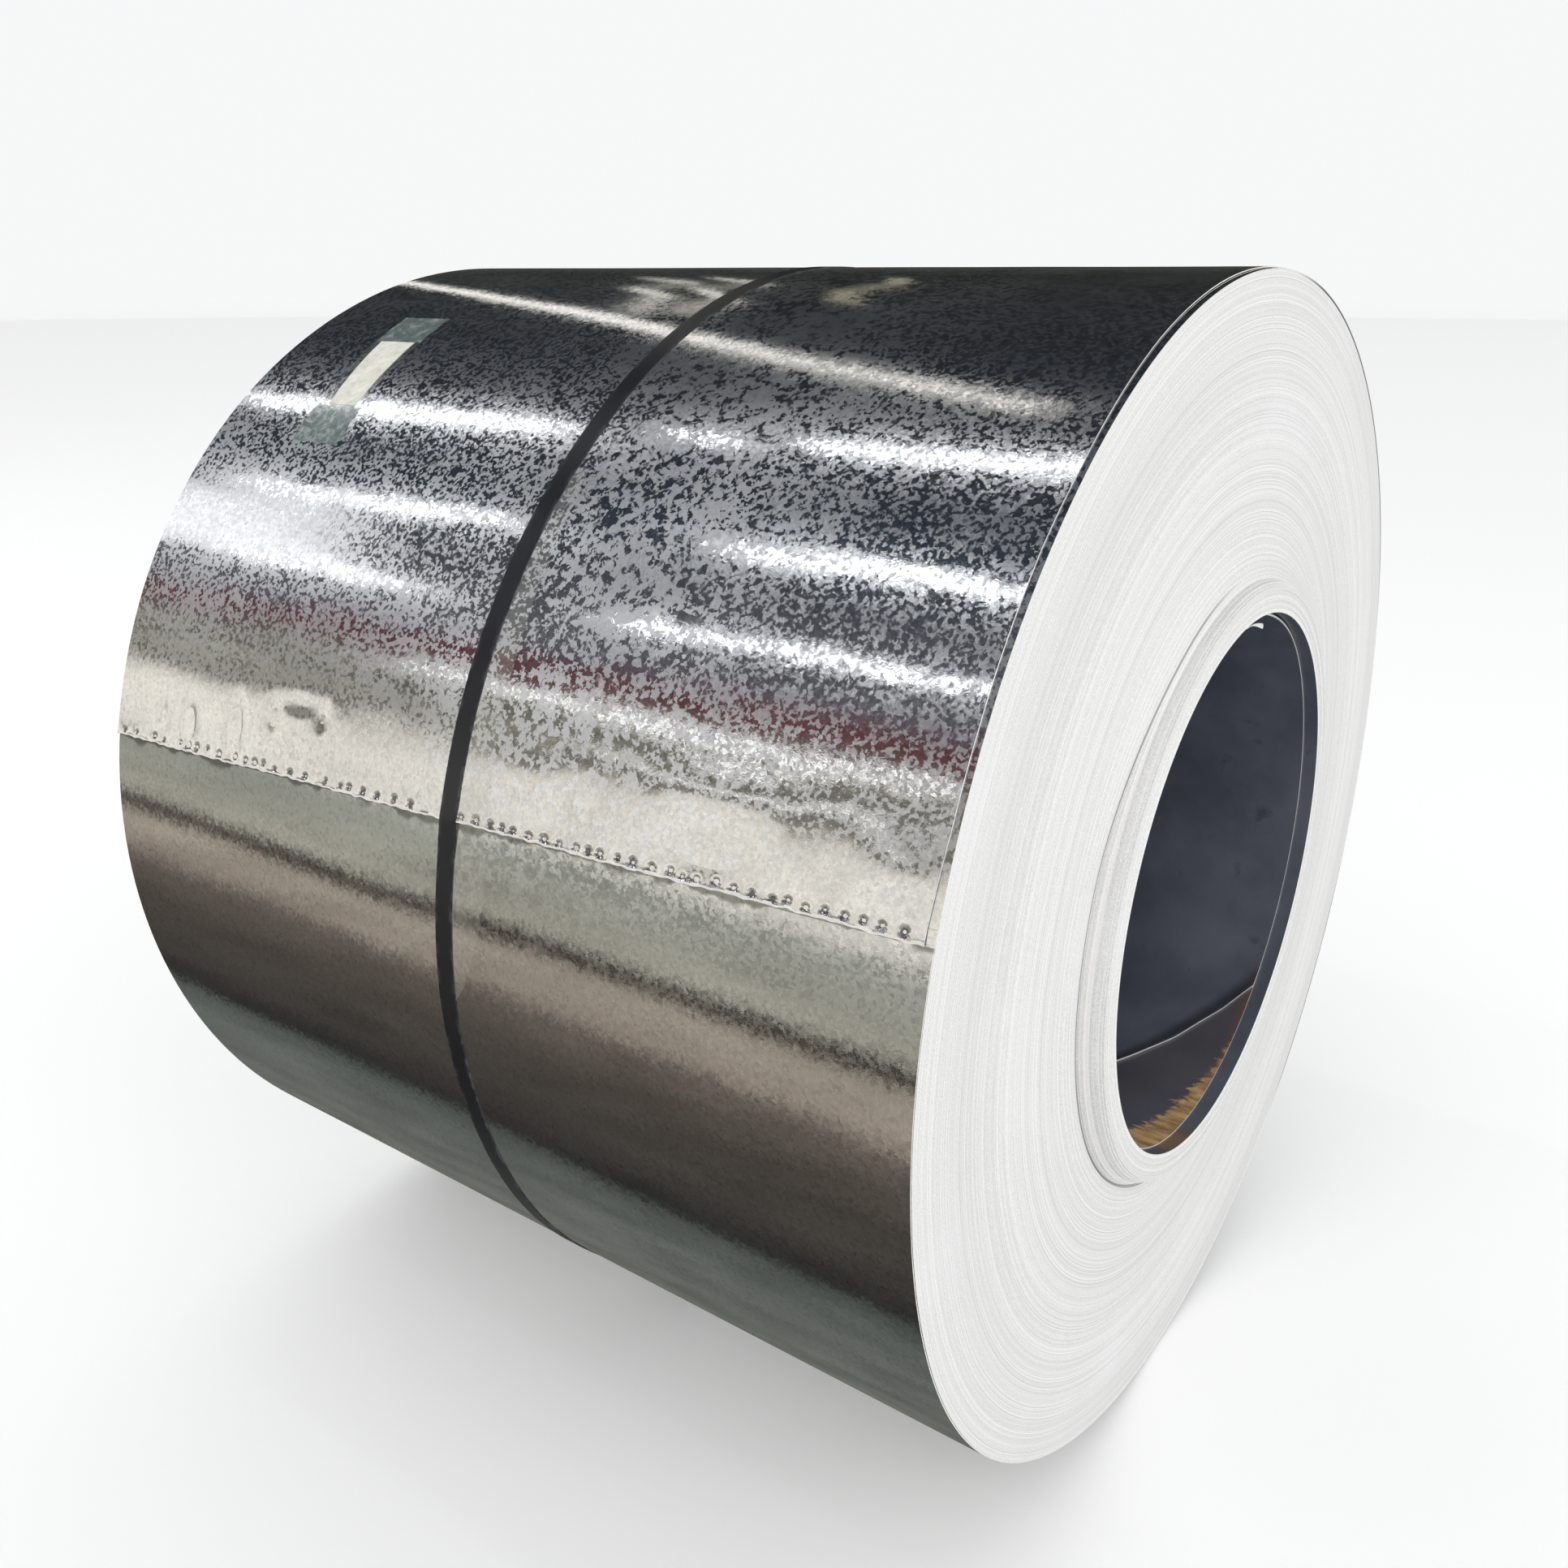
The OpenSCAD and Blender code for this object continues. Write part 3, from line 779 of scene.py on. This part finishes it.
# the sheared free end: a strip of small faces down to a line under the edge
offE = len(vv)
edge_in = []
for j in range(mf):
    p = A[0, j].copy()
    d = np.array([0, p[1], p[2] - AZ]); rr = np.linalg.norm(d)
    p[1:] = p[1:] - d[1:] / rr * T
    edge_in.append(p)
vv = np.concatenate([vv, np.array(edge_in[1:-1])])
idE = lambda j: idI(0, 0) if j == 0 else (idI(0, 1) if j == mf - 1 else offE + j - 1)
for j in range(mf - 1):
    F.append((idA(0, j + 1), idA(0, j), idE(j), idE(j + 1))); M.append(1)
# close the first inner strip round the extra points, and the hidden end
F[F.index((idI(0, 0), idI(1, 0), idI(1, 1), idI(0, 1)))] = tuple([idI(1, 0), idI(1, 1)] + [idE(j) for j in range(mf - 1, -1, -1)])
F.append(tuple([idB(nb - 1, j) for j in range(mb)] + [idI(NR - 1, 1), idI(NR - 1, 0)])); M.append(1)
last = make("coil_last_turn", vv, F, [ZINC, CUT, PAINTED_DARK], M, angle=50, node=["coil"], slot="zinc_strip")

# -------------------------------------------------------------- the first turn
HEAD = np.array([(0.364, 283.7), (0.379, 288.6), (0.397, 293.9), (0.413, 299.9), (0.431, 305.7), (0.444, 310.8), (0.452, 313.6)])


def head_phi(x):
    return np.where(x < 0.345, 276.6, np.interp(x, [0.345] + list(HEAD[:, 0]), [277.6] + list(HEAD[:, 1])))


cx = np.concatenate([np.linspace(X_LO + 0.0235, 0.33, 34), np.linspace(0.337, 0.452, 34)])
ru = np.concatenate([np.linspace(0, 12, 13), np.linspace(14, 346, 150), np.linspace(348, 359.9, 5)])
XX, UU = np.meshgrid(cx, ru)
PH = head_phi(XX) + UU
ph_mod = np.mod(PH, 360)
rin = BORE + T * UU / 360
# it has come a little loose at the top of the mouth
rin = rin - 0.0016 * np.exp(-UU / 4.0)      # the head end stands off the wall
rin = rin - 0.0022 * np.exp(-((ph_mod - 74) / 22) ** 2) * smooth(0.36, 0.452, XX)
edge_pull = 0.0022 * np.exp(-((ph_mod - 66) / 26) ** 2)
XJ = XX + np.where(XX > 0.4515, edge_pull, 0)
top = at(XJ, PH, rin)
bot = at(XJ, PH, rin + T + 0.0012 * np.exp(-UU / 4.0) + np.where(XX > 0.4515, 0.0009, 0))
first = slab("coil_first_turn", top, bot, [BORE_IN, CUT], angle=40, node=["coil"], slot="zinc_strip")
fm = np.zeros(len(first.data.polygons), np.int32)
nrm = np.zeros(len(fm) * 3); first.data.polygons.foreach_get("normal", nrm); nrm = nrm.reshape(-1, 3)
cen = np.zeros(len(fm) * 3); first.data.polygons.foreach_get("center", cen); cen = cen.reshape(-1, 3)
d = cen[:, 1:] - np.array([0, AZ]); d /= np.linalg.norm(d, axis=1)[:, None]
fm[np.abs((nrm[:, 1:] * d).sum(1)) < 0.6] = 1
first.data.polygons.foreach_set("material_index", fm)

# a small torn tab of the inner edge, bent down into the mouth
tp = np.linspace(98.5, 86.5, 15)
tt = (98.5 - tp) / 12.0
o_r = 0.2562 - 0.0086 * tt ** 1.25
i_r = o_r - 0.0006 - 0.0040 * smooth(0.1, 1.0, tt)
tab_top, tab_bot = [], []
for q, ro, ri in zip(tp, o_r, i_r):
    rr_ = np.linspace(ro, ri, 4)
    xx_ = np.full(4, 0.4662) - 0.0022 * ((98.5 - q) / 12) ** 2 + 0.0006 * np.sin(np.linspace(0, 2.4, 4))
    tab_top.append(at(xx_, np.full(4, q), rr_)); tab_bot.append(at(xx_ - T, np.full(4, q), rr_))
slab("mouth_tab", np.array(tab_top), np.array(tab_bot), [CUT], angle=40, node=["coil"], slot="zinc_strip")

# ------------------------------------------------------------------- the strap
WANDER = np.array([(0, 9), (30, 11), (60, 13), (90, 14), (110, 14.6), (127, 14.4), (133, 13.6), (139, 11.8), (147, 10.8),
                   (156, 8.4), (164, 7.2), (174, 6.0), (183, 3.6), (195, 3.4), (202, 1.0), (209, -3.0), (216, -7), (225, -8), (270, 0),
                   (315, 6), (360, 9)], float)
ph_s = np.concatenate([np.arange(0, 158, 1.0), np.arange(158, 176, 0.4), np.arange(176, 360, 1.0)])
wx = np.interp(np.arange(-60, 421, 1.0) % 360, WANDER[:, 0], WANDER[:, 1])
ker = np.exp(-(np.arange(-9, 10) / 4.5) ** 2); ker /= ker.sum()
wx = np.convolve(wx, ker, "same")
strap_cx = np.interp(ph_s, np.arange(-60, 421, 1.0), wx) / 1000
sw, st = 0.0190 / 2, 0.0008
tx = tail_phi(strap_cx)
base_r = surf_r(strap_cx, ph_s)
# highest point of the strip under the strap's width, then bridged at the step
for dx in (-sw, -sw / 2, sw / 2, sw):
    base_r = np.maximum(base_r, surf_r(strap_cx + dx, ph_s))
step_hi = base_r[ph_s < tx].copy()[-1]
i0 = np.where(ph_s >= tx)[0][0]
i1 = np.where(ph_s >= tx[i0] + 3.0)[0][0]
for i in range(i0, i1):
    t = (ph_s[i] - ph_s[i0 - 1]) / (ph_s[i1] - ph_s[i0 - 1])
    base_r[i] = (1 - t) * base_r[i0 - 1] + t * base_r[i1]
base_r = np.where((ph_s > 200) | (ph_s < 60), np.maximum(base_r, turn_r(np.mod(tail_phi(strap_cx) - ph_s, 360))), base_r)
ring = [(-sw, 0.0), (-sw, st - 0.00022), (-sw + 0.00022, st), (-sw * 0.4, st + 0.00002), (sw * 0.4, st + 0.00002), (sw - 0.00022, st), (sw, st - 0.00022), (sw, 0.0)]
ns, nr = len(ph_s), len(ring)
V = np.zeros((ns, nr, 3))
for k, (dx, dr) in enumerate(ring):
    V[:, k] = at(strap_cx + dx, ph_s, np.minimum(base_r + 0.00001 + dr, R + T + st + 0.0012))
V = V.reshape(-1, 3)
# keep the strap over the floor and in its CAD box
lo_s, hi_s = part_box("strap")
V[:, 2] = np.maximum(V[:, 2], lo_s.z)
F = []
for i in range(ns):
    for k in range(nr):
        a, b = i * nr + k, i * nr + (k + 1) % nr
        c, e = ((i + 1) % ns) * nr + (k + 1) % nr, ((i + 1) % ns) * nr + k
        F.append((a, b, c, e))
strap = make("strap_band", V, F, [STRAP], angle=30, node=["strap"], slot="black_strap")

# -------------------------------------------------------------------- the seal
def seal():
    ph = np.linspace(48 - 3.0, 48 + 3.0, 61)
    t = 0.0010
    cxs = np.interp(ph, np.arange(-60, 421, 1.0), wx) / 1000
    b = np.interp(ph, ph_s, base_r)
    rows = []
    # cross-section of a folded sleeve: outside from lip to lip, then inside back
    wv = sw + 0.0010
    for i, p in enumerate(ph):
        arc = (p - 48) * math.pi / 180 * R
        nip = max(math.exp(-((abs(arc) - 0.0120) / 0.0022) ** 2), 0)
        wv_i = wv - 0.0016 * nip
        dip = 0.0003 * nip
        sec = [(-wv_i, 0.0), (-wv_i, st + t * 0.55 - dip), (-wv_i + 0.0007, st + t - dip), (-wv_i * 0.5, st + t), (0, st + t - dip * 0.3),
               (wv_i * 0.5, st + t), (wv_i - 0.0007, st + t - dip), (wv_i, st + t * 0.55 - dip), (wv_i, 0.0),
               (wv_i - 0.0009, 0.0), (wv_i - 0.0009, st * 0.9), (0, st * 0.98), (-wv_i + 0.0009, st * 0.9), (-wv_i + 0.0009, 0.0)]
        rows.append([at(cxs[i] + dx, p, np.float64(b[i] + 0.00002 + dr)) for dx, dr in sec])
    V = np.array(rows); m, k = V.shape[:2]
    F = []
    for i in range(m - 1):
        for j in range(k):
            F.append((i * k + j, i * k + (j + 1) % k, (i + 1) * k + (j + 1) % k, (i + 1) * k + j))
    F.append(tuple(range(k))); F.append(tuple((m - 1) * k + j for j in range(k)))
    return make("seal_sleeve", V, F, [SEAL], angle=35, node=["strap_seal"], slot="black_seal")


seal()

# -------------------------------------------------------------- tapes and paper
def film(name, x_of, phis, cols, lift_of, thick, mat, node, slot):
    """A thin film on the strip: x_of(phi) gives its two sides."""
    rows, rows2 = [], []
    for p in phis:
        a, b = x_of(p)
        x = np.linspace(a, b, cols)
        w = np.mod(tail_phi(x) - p, 360)
        r = surf_r(x, np.full_like(x, p))
        # bridges the free end's edge
        drop = np.clip((p - tail_phi(x)) / 1.3, 0, 1)
        hi = surf_r(x, tail_phi(x) - 0.02)
        lo = surf_r(x, tail_phi(x) + 1.4)
        r = np.where((p >= tail_phi(x)) & (drop < 1), hi * (1 - drop) + lo * drop, r)
        h = lift_of(x * 1000, p * 9.46)
        rows.append(at(x, np.full_like(x, p), r + 0.00006 + h + thick))
        rows2.append(at(x, np.full_like(x, p), r + 0.00006 + h))
    return slab(name, np.array(rows), np.array(rows2), [mat], angle=45, node=node, slot=slot)


def crinkle(x, s):
    h = 0.5 + 0.5 * np.sin(x / 2.9 + 2.0 * np.sin(s / 5.2) + 0.13 * s)
    h = h * (0.5 + 0.5 * np.sin(s / 3.3 + 1.7 * np.sin(x / 4.4)))
    return 0.00028 * h ** 2


SIDE = np.array([(134, 35), (139, 39), (150, 43), (160, 47.5), (168, 50.6), (171, 51.7), (176, 45), (180.6, 26), (183, 11.6)])


def tail_x(p):
    left = np.interp(p, WANDER[:, 0], WANDER[:, 1]) + 8.0
    right = np.interp(p, SIDE[:, 0], SIDE[:, 1]) + 0.5 * math.sin(p * 3.1)
    return left / 1000, max(right, left + 3) / 1000


film("tail_tape_film", tail_x, np.arange(134, 182.6, 0.24), 34, crinkle, 0.00012, TAPE, ["tail_tape"], "clear_tape")

LX, LPH = -0.321, 124.3


def label_x(p):
    t = (p - 119.2) / (129.5 - 119.2)
    l0, r0 = (-345 + 12 * t) / 1000, (-296 + 2 * t) / 1000
    return l0, r0


def label_tape_x(p):
    t = (p - 114.4) / (134.3 - 114.4)
    l0, r0 = (-354 + 7 * t) / 1000, (-291 + 9 * t) / 1000
    wob = 0.0006 * math.sin(p * 2.3)
    return l0 + wob, r0 - wob


film("label_paper_strip", label_x, np.arange(119.2, 129.45, 0.2), 20,
     lambda x, s: 0.00006 * (1 + np.sin(x / 6 + s / 9)), 0.00012, PAPER, ["label_strip"], "label_paper")
film("label_tape_film", label_tape_x, np.arange(114.3, 134.35, 0.22), 30,
     lambda x, s: 0.0002 + 0.6 * crinkle(x, s), 0.00010, LTAPE, ["label_tape"], "clear_tape")

# ------------------------------------------------------- light and background
def area(name, pos, look, sx, sy, radiance, color=(1, 1, 1)):
    L = bpy.data.lights.new(name, "AREA")
    L.shape = "RECTANGLE"
    L.size, L.size_y = sx, sy
    L.energy = radiance * math.pi * sx * sy
    L.color = color
    ob = bpy.data.objects.new(name, L)
    scene.collection.objects.link(ob)
    ob.location = pos
    z = (Vector(pos) - Vector(look)).normalized()       # lights shine down their -Z
    xax = Vector((1, 0, 0))
    yax = z.cross(xax).normalized()
    xax = yax.cross(z).normalized()
    from mathutils import Matrix
    ob.rotation_euler = Matrix((xax, yax, z)).transposed().to_euler()
    ob.visible_camera = False
    return ob


STRIPS = [
    # y, x from, x to, width, radiance
    (-0.20, -5.7, -3.4, 0.14, 7.5), (-0.20, -2.9, -2.5, 0.12, 4.5), (-0.20, -2.2, -0.8, 0.12, 7.0),
    (-2.00, -6.0, -4.0, 0.14, 6.0), (-2.00, -2.8, -1.1, 0.12, 7.0),
    (-3.80, -7.4, -5.8, 0.14, 6.0), (-3.80, -4.2, -1.5, 0.09, 6.5),
    (-7.30, -9.0, -3.0, 0.18, 2.6), (-10.4, -9.0, -4.5, 0.22, 1.8),
    (-2.90, -10.0, -5.9, 1.30, 1.4),
]
for i, (y, x0, x1, wd, rad_) in enumerate(STRIPS):
    area(f"strip_{i}", ((x0 + x1) / 2, y, 4.5), ((x0 + x1) / 2, 0, 0.5), x1 - x0, wd, rad_, (1.0, 1.0, 1.0))
# broad soft light on the end face
area("soft_end", (4.2, -1.6, 2.6), (0.45, 0.0, 0.55), 3.2, 3.2, 1.6)


def ramp(t, stops, value):
    cr = t.nodes.new("ShaderNodeValToRGB")
    e = cr.color_ramp.elements
    while len(e) > 1:
        e.remove(e[-1])
    first_ = True
    for p, c in stops:
        k = e[0] if first_ else e.new(p)
        k.position = p
        k.color = c
        first_ = False
    t.links.new(value, cr.inputs[0])
    return cr.outputs[0]


def dome():
    """A tent of soft tones round the stage, which only reflections see."""
    bm = bmesh.new()
    bmesh.ops.create_icosphere(bm, subdivisions=4, radius=40)
    bmesh.ops.reverse_faces(bm, faces=bm.faces)
    me = bpy.data.meshes.new("tent")
    bm.to_mesh(me); bm.free()
    ob = bpy.data.objects.new("tent", me)
    ob.location = (0, 0, 0.5)
    scene.collection.objects.link(ob)
    m = bpy.data.materials.new("tent"); m.use_nodes = True
    t = m.node_tree; t.nodes.clear()
    out = t.nodes.new("ShaderNodeOutputMaterial")
    em = t.nodes.new("ShaderNodeEmission")
    t.links.new(em.outputs[0], out.inputs[0])
    g = t.nodes.new("ShaderNodeTexCoord")
    s = t.nodes.new("ShaderNodeSeparateXYZ")
    t.links.new(g.outputs["Object"], s.inputs[0])

    def mth(op, a, b=None):
        q = t.nodes.new("ShaderNodeMath"); q.operation = op
        for i, v in enumerate((a, b)):
            if v is None:
                continue
            if isinstance(v, (int, float)):
                q.inputs[i].default_value = v
            else:
                t.links.new(v, q.inputs[i])
        return q.outputs[0]

    a = mth("ARCTAN2", s.outputs[2], s.outputs[1])
    a = mth("DIVIDE", a, 2 * math.pi)
    a = mth("FRACT", mth("ADD", a, 1.0))
    nz = t.nodes.new("ShaderNodeTexNoise"); nz.inputs["Scale"].default_value = 0.11; nz.inputs["Detail"].default_value = 3
    t.links.new(g.outputs["Object"], nz.inputs["Vector"])
    a2 = mth("ADD", a, mth("MULTIPLY", mth("SUBTRACT", nz.outputs["Fac"], 0.5), 0.012))
    k = 1.25
    tone = lambda d, *c: (d / 360, tuple([v * k for v in lin(*c)[:3]] + [1]))
    stops = [tone(0, 70, 70, 68), tone(18, 40, 42, 40), tone(86, 40, 44, 51),
             tone(112, 52, 58, 67), tone(140, 92, 92, 96), 
             tone(147, 96, 48, 54), tone(149.5, 100, 92, 86), tone(152.2, 94, 92, 86), tone(153.6, 172, 166, 150),
             tone(155, 96, 94, 88), tone(157.6, 100, 100, 92), tone(159, 166, 160, 142), tone(160.4, 104, 102, 94),
             tone(164.5, 128, 124, 114), tone(166.5, 226, 219, 206), tone(175, 232, 226, 214), tone(182.0, 226, 220, 208), tone(183.6, 146, 147, 136),
             tone(200.5, 158, 154, 140), tone(202.3, 52, 50, 44), tone(204.3, 52, 50, 44), tone(206.5, 158, 148, 134), tone(216, 148, 136, 124),
             tone(220, 96, 88, 80), tone(232, 74, 68, 62), tone(246, 64, 60, 56), tone(256, 42, 42, 40), tone(259, 80, 84, 80),
             tone(272, 96, 99, 94), tone(300, 96, 97, 92), tone(345, 84, 84, 82)]
    band = ramp(t, stops, a2)
    nm = t.nodes.new("ShaderNodeTexNoise"); nm.inputs["Scale"].default_value = 0.42; nm.inputs["Detail"].default_value = 6
    nm.inputs["Roughness"].default_value = 0.62
    t.links.new(g.outputs["Object"], nm.inputs["Vector"])
    mr = t.nodes.new("ShaderNodeMapRange")
    for k_, v_ in (("From Min", 0.35), ("From Max", 0.65), ("To Min", 0.78), ("To Max", 1.24)):
        mr.inputs[k_].default_value = v_
    t.links.new(nm.outputs["Fac"], mr.inputs["Value"])
    mul = t.nodes.new("ShaderNodeVectorMath"); mul.operation = "SCALE"
    t.links.new(band, mul.inputs[0]); t.links.new(mr.outputs["Result"], mul.inputs["Scale"])
    band = mul.outputs[0]
    side = t.nodes.new("ShaderNodeMapRange"); side.interpolation_type = "SMOOTHSTEP"
    side.inputs["From Min"].default_value = 5.0; side.inputs["From Max"].default_value = 15.0
    t.links.new(s.outputs[0], side.inputs["Value"])
    mx = t.nodes.new("ShaderNodeMix"); mx.data_type = "RGBA"
    t.links.new(side.outputs["Result"], mx.inputs[0])
    t.links.new(band, mx.inputs[6])
    mx.inputs[7].default_value = (0.98, 0.98, 0.97, 1)
    t.links.new(mx.outputs[2], em.inputs["Color"])
    em.inputs["Strength"].default_value = 1.0
    me.materials.append(m)
    ob.visible_camera = False
    ob.visible_diffuse = False
    ob.visible_shadow = False
    ob.visible_transmission = False
    ob.visible_volume_scatter = False
    return ob


dome()


def panel(name, line, width, color):
    """A dim strip of cloth under the tent's roof, which only reflections see."""
    pts = [Vector((x, y, 4.5)) for x, y in line]
    v, f = [], []
    for i, p in enumerate(pts):
        d = (pts[min(i + 1, len(pts) - 1)] - pts[max(i - 1, 0)]).normalized()
        n = Vector((-d.y, d.x, 0)) * width / 2
        v += [p + n, p - n]
    for i in range(len(pts) - 1):
        f.append((2 * i, 2 * i + 1, 2 * i + 3, 2 * i + 2))
    me = bpy.data.meshes.new(name)
    me.from_pydata(v, [], f)
    ob = bpy.data.objects.new(name, me)
    scene.collection.objects.link(ob)
    m = bpy.data.materials.new(name); m.use_nodes = True
    t = m.node_tree; t.nodes.clear()
    out = t.nodes.new("ShaderNodeOutputMaterial")
    em = t.nodes.new("ShaderNodeEmission")
    em.inputs["Color"].default_value = color
    t.links.new(em.outputs[0], out.inputs[0])
    me.materials.append(m)
    ob.visible_camera = ob.visible_diffuse = ob.visible_shadow = ob.visible_transmission = False


panel("beam", [(-12.0, 8.3), (-7.1, 4.85), (-4.78, 3.15), (-3.2, 1.95), (-2.5, 1.42), (-1.3, 0.72)], 0.20, (1.25, 1.20, 1.10, 1))
panel("truss_a", [(-8.0, 8.2), (-6.2, 6.6), (-5.9, 5.4), (-4.9, 4.4), (-4.3, 3.1)], 0.14, (0.85, 0.82, 0.72, 1))
panel("truss_b", [(-7.2, 8.2), (-5.4, 6.4), (-5.3, 5.4), (-4.3, 4.2), (-4.0, 3.1)], 0.12, (0.95, 0.91, 0.80, 1))
panel("truss_c", [(-5.4, 8.4), (-4.5, 6.7), (-4.1, 5.3), (-3.5, 4.1)], 0.13, (0.42, 0.39, 0.28, 1))

bm = bmesh.new()
bmesh.ops.create_circle(bm, cap_ends=True, segments=96, radius=60)
me = bpy.data.meshes.new("floor"); bm.to_mesh(me); bm.free()
floor = bpy.data.objects.new("floor", me)
scene.collection.objects.link(floor)
fm_ = Nodes("floor_pale")
fm_.bsdf.inputs["Base Color"].default_value = (0.90, 0.90, 0.90, 1)
fm_.bsdf.inputs["Roughness"].default_value = 0.9
fm_.bsdf.inputs["Emission Color"].default_value = (1, 1, 1, 1)
fm_.bsdf.inputs["Emission Strength"].default_value = 0.085
me.materials.append(fm_.mat)
floor.visible_glossy = False

world = bpy.data.worlds.new("studio")
scene.world = world
world.use_nodes = True
bg = world.node_tree.nodes["Background"]
bg.inputs[0].default_value = (0.93, 0.935, 0.94, 1)
bg.inputs[1].default_value = 1.0
scene.view_settings.view_transform = "Standard"
scene.view_settings.look = "None"

# --------------------------------------------------------------------- camera
cam = bpy.data.cameras.new("camera")
cam.sensor_width = 36
cam.sensor_fit = "AUTO"
cam.lens = 32.22
cam.clip_start, cam.clip_end = 0.02, 400
co = bpy.data.objects.new("camera", cam)
scene.collection.objects.link(co)
co.location = (0.8292, -1.2129, 1.0796)
ya, pi_ = math.radians(35.785), math.radians(19.986)
back = Vector((math.sin(ya) * math.cos(pi_), -math.cos(ya) * math.cos(pi_), math.sin(pi_)))
co.rotation_mode = "QUATERNION"
co.rotation_quaternion = (-back).to_track_quat("-Z", "Y")
scene.camera = co

bpy.context.view_layer.update()
